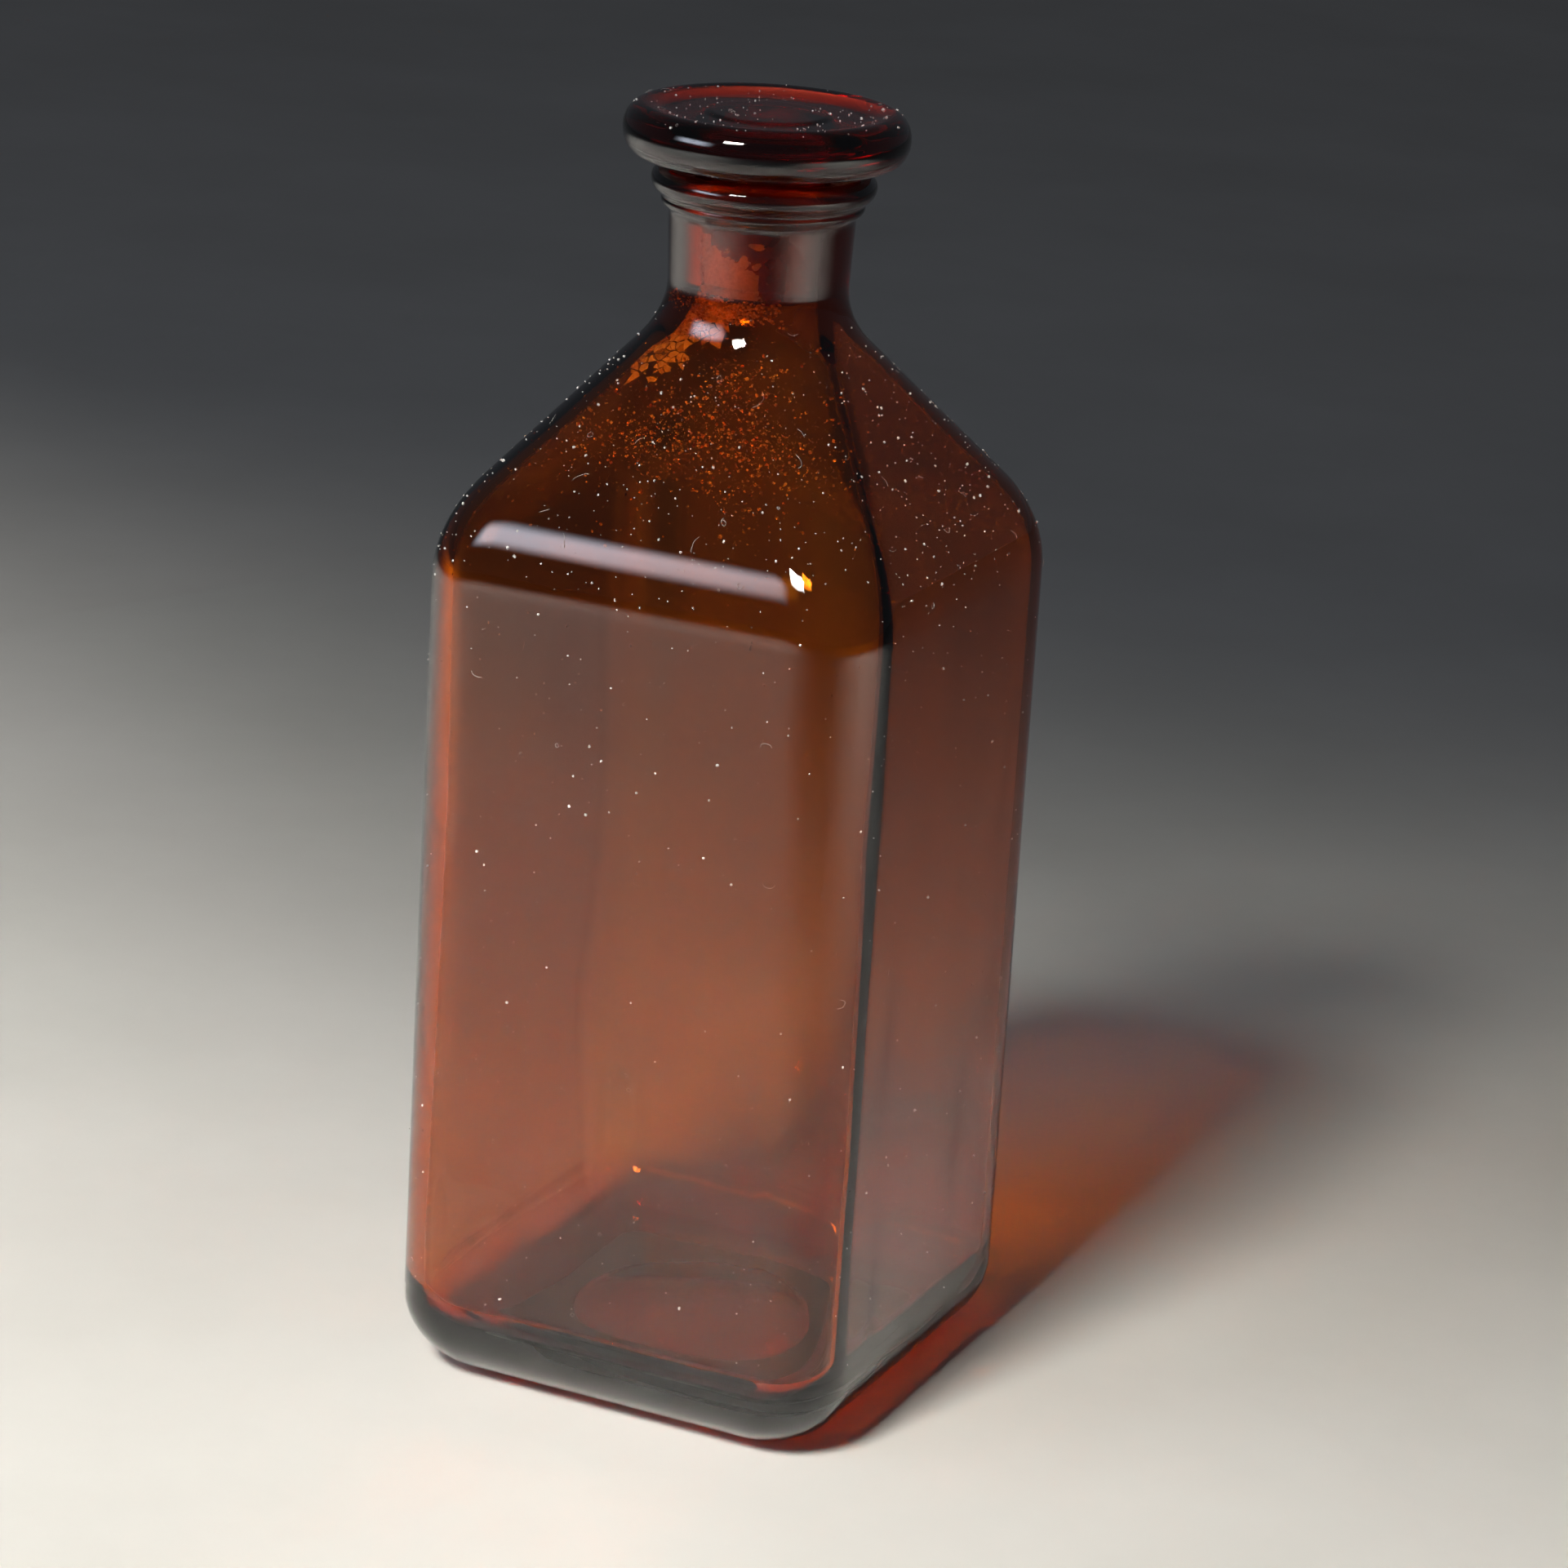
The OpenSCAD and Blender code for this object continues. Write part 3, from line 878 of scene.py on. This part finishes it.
# ---------------------------------------------------------------- stage, lights and camera
CAMERA_AZIMUTH = math.radians(24.73)
CAMERA_ELEVATION = math.radians(18.12)
CAMERA_ROLL = math.radians(3.52)
CAMERA_DISTANCE = 0.7611
CAMERA_LENS = 118.8
AIM_HEIGHT = 0.503                    # share of the whole height that the camera looks at
AIM_RIGHT = 7.7 * MM                  # how far the camera is shifted to its right
AIM_UP = -5.8 * MM                    # how far the camera is shifted up; below 0 is down

KEY_AZIMUTH = math.radians(-1)
KEY_ELEVATION = math.radians(50)
KEY_SIZE = 0.24
KEY_POWER = 0.44
KEY_COLOR = (1.0, 0.97, 0.92)
POOL_SIZE = 0.2
POOL_COLOR = (1.0, 0.98, 0.95)
BAND_AZIMUTH = math.radians(-37)
BAND_ELEVATION = math.radians(26)
BAND_DISTANCE = 1.2
BAND_COLOR = (0.76, 0.84, 1.0)
WORLD_COLOR = (0.55, 0.58, 0.66, 1)
WORLD_STRENGTH = 0.07


def direction(azimuth, elevation):
    """Unit vector towards a place seen at that azimuth from the front, and elevation."""
    flat = math.cos(elevation)
    return Vector((math.sin(azimuth) * flat, -math.cos(azimuth) * flat, math.sin(elevation)))


def make_camera():
    """The camera, turned towards the bottle and then shifted without turning."""
    back = direction(CAMERA_AZIMUTH, CAMERA_ELEVATION)
    level = Vector((math.cos(CAMERA_AZIMUTH), math.sin(CAMERA_AZIMUTH), 0))
    upright = back.cross(level)
    right = math.cos(CAMERA_ROLL) * level + math.sin(CAMERA_ROLL) * upright
    up = math.cos(CAMERA_ROLL) * upright - math.sin(CAMERA_ROLL) * level
    aim = Vector((0, 0, DISC_TOP * AIM_HEIGHT))
    place = aim + CAMERA_DISTANCE * back + AIM_RIGHT * right + AIM_UP * up
    data = bpy.data.cameras.new("camera")
    data.lens = CAMERA_LENS
    data.sensor_width = 36.0
    data.clip_start = 0.01
    data.clip_end = 50.0
    obj = bpy.data.objects.new("camera", data)
    bpy.context.scene.collection.objects.link(obj)
    turn = Matrix((right, up, back)).transposed().to_4x4()
    obj.matrix_world = Matrix.Translation(place) @ turn
    bpy.context.scene.camera = obj


def soft_light(name, place, aim, width, height, power, color, spread):
    """A soft box at place, turned towards aim. A small spread, in degrees, keeps its light
    near its aim."""
    data = bpy.data.lights.new(name, "AREA")
    data.shape = "RECTANGLE"
    data.size = width
    data.size_y = height
    data.energy = power
    data.color = color
    data.spread = math.radians(spread)
    obj = bpy.data.objects.new(name, data)
    bpy.context.scene.collection.objects.link(obj)
    obj.location = place
    obj.rotation_euler = (Vector(place) - Vector(aim)).to_track_quat("Z", "Y").to_euler()
    return data


def floor_pool(name, x, y, power, spread):
    """A soft box 1 m above the floor that lights one patch of it."""
    soft_light(name, (x, y, 1.0), (x, y, 0), POOL_SIZE, POOL_SIZE, power, POOL_COLOR, spread)


def feather(light, strength):
    """Makes a light fade out towards its edges, as a diffuser does. strength scales it."""
    light.use_nodes = True
    tree = light.node_tree
    emission = tree.nodes["Emission"]
    place = tree.nodes.new("ShaderNodeNewGeometry")
    split = tree.nodes.new("ShaderNodeSeparateXYZ")
    tree.links.new(place.outputs["Parametric"], split.inputs["Vector"])
    fades = []
    for axis in ("X", "Y"):
        from_middle = math_node(tree, "SUBTRACT", split.outputs[axis], 0.5)
        size = math_node(tree, "ABSOLUTE", from_middle.outputs["Value"], 0.0)
        fade = range_node(tree, size.outputs["Value"], 0.12, 0.5, 1.0, 0.0)
        fade.interpolation_type = "SMOOTHSTEP"
        fades.append(fade.outputs["Result"])
    both = math_node(tree, "MULTIPLY", *fades)
    scaled = math_node(tree, "MULTIPLY", both.outputs["Value"], strength)
    tree.links.new(scaled.outputs["Value"], emission.inputs["Strength"])


def make_stage():
    """The floor, the dim surroundings and the lights.

    The two keys share one place and light the floor round the bottle. The pools light floor that
    is out of view, for the glass to reflect. The band is the long highlight along the hip."""
    half = 4.0
    corners = [(-half, -half, 0), (half, -half, 0), (half, half, 0), (-half, half, 0)]
    floor = new_object("studio_floor", corners, [(0, 1, 2, 3)], smooth=False)
    floor.data.materials.append(floor_material())

    world = bpy.data.worlds.new("studio")
    world.use_nodes = True
    background = world.node_tree.nodes["Background"]
    background.inputs["Color"].default_value = WORLD_COLOR
    background.inputs["Strength"].default_value = WORLD_STRENGTH
    bpy.context.scene.world = world

    key_place = Vector((-0.05, -0.12, 0)) + direction(KEY_AZIMUTH, KEY_ELEVATION)
    for name, x in (("key_left", -0.22), ("key_right", 0.06)):
        soft_light(name, key_place, (x, -0.08, 0), KEY_SIZE, KEY_SIZE, KEY_POWER, KEY_COLOR,
                   spread=26)
    floor_pool("front", -0.36, -0.56, power=1.25, spread=50)
    floor_pool("left", -0.64, -0.04, power=1.1, spread=50)
    floor_pool("right", 0.54, -0.02, power=1.2, spread=44)
    middle = Vector((0, 0, DISC_TOP / 2))
    band_place = middle + BAND_DISTANCE * direction(BAND_AZIMUTH, BAND_ELEVATION)
    band = soft_light("band", band_place, middle, width=0.80, height=0.42, power=2.4,
                      color=BAND_COLOR, spread=180)
    feather(band, strength=2.8)


# ---------------------------------------------------------------- assembly
AMBER_PASSED = (0.76, 0.36, 0.06)     # through one 3.2 mm side of the bottle
RUBY_PASSED = (0.85, 0.26, 0.18)      # through the same thickness of the stopper

# Colours from the darkest to the palest tone
CRUST_COLORS = ((0.55, 0.36, 0.18), (0.88, 0.70, 0.44), (0.98, 0.90, 0.72))
CRYSTAL_COLORS = ((0.75, 0.30, 0.16), (0.90, 0.72, 0.45), (1.0, 0.93, 0.80))
# The two darkest film colours are partly painted shade, standing in for a dark reflection on the
# front of the neck.
FILM_AND_SHADE_COLORS = ((0.14, 0.03, 0.01), (0.22, 0.06, 0.02), (0.52, 0.50, 0.44), (0.72, 0.70, 0.62))
DUST_COLORS = ((0.55, 0.53, 0.50), (0.80, 0.78, 0.74), (0.95, 0.94, 0.92))


def dress(obj, material, body, slot, *nodes):
    """Gives a piece its material and its body, and hides the nodes it stands for. slot is not used.
    """
    obj.data.materials.append(material)
    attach(obj, body)
    if nodes:
        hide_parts(*nodes)
    return obj


amber = glass_material("amber_glass", AMBER_PASSED, WALL_T)
ruby = glass_material("ruby_glass", RUBY_PASSED, WALL_T)
dress(make_bottle(), amber, "bottle", "amber_glass", "bottle")
dress(make_stopper(), ruby, "stopper", "ruby_glass", "stopper")

crust = toned_material("dried_crust", CRUST_COLORS, rough=0.7, gloss=0.6, grain=1800)
crystal = toned_material("residue_crystals", CRYSTAL_COLORS, rough=0.2, gloss=1.0, grain=2600)
# The film's dark tones are partly painted shade for a dark reflection on the front of the neck.
film = toned_material("dried_film_and_painted_shade", FILM_AND_SHADE_COLORS, rough=0.7, gloss=0.4, grain=2200)
dust = toned_material("dust", DUST_COLORS, rough=0.85, gloss=0.3, grain=3000)

dress(make_crust(), crust, "bottle", "dried_residue", "dried_crust")
dress(make_neck_grains(), crust, "bottle", "dried_residue")
dress(make_joint_film(), film, "bottle", "dried_residue")
dress(make_crystals(), crystal, "bottle", "residue_crystals", "dried_crystals")
dress(make_specks("bottle_dust", 1700, on_bottle, outside_point, 31),
      dust, "bottle", "dried_residue")
dress(make_specks("stopper_dust", 120, on_disc, disc_point, 37),
      dust, "stopper", "dried_residue")
dress(make_lint("bottle_lint", 90, on_bottle, outside_point, lambda z: half_at(z, OUTSIDE), 41),
      dust, "bottle", "dried_residue")
dress(make_lint("stopper_lint", 8, on_disc, disc_point, lambda r: max(r, 2 * MM), 43),
      dust, "stopper", "dried_residue")

make_camera()
make_stage()
scene = bpy.context.scene
scene.view_settings.view_transform = "Standard"
scene.cycles.blur_glossy = 0.0        # so that light through the glass reaches the floor
scene.cycles.sample_clamp_indirect = 20.0
scene.cycles.max_bounces = 24
scene.cycles.transmission_bounces = 24
scene.cycles.glossy_bounces = 12
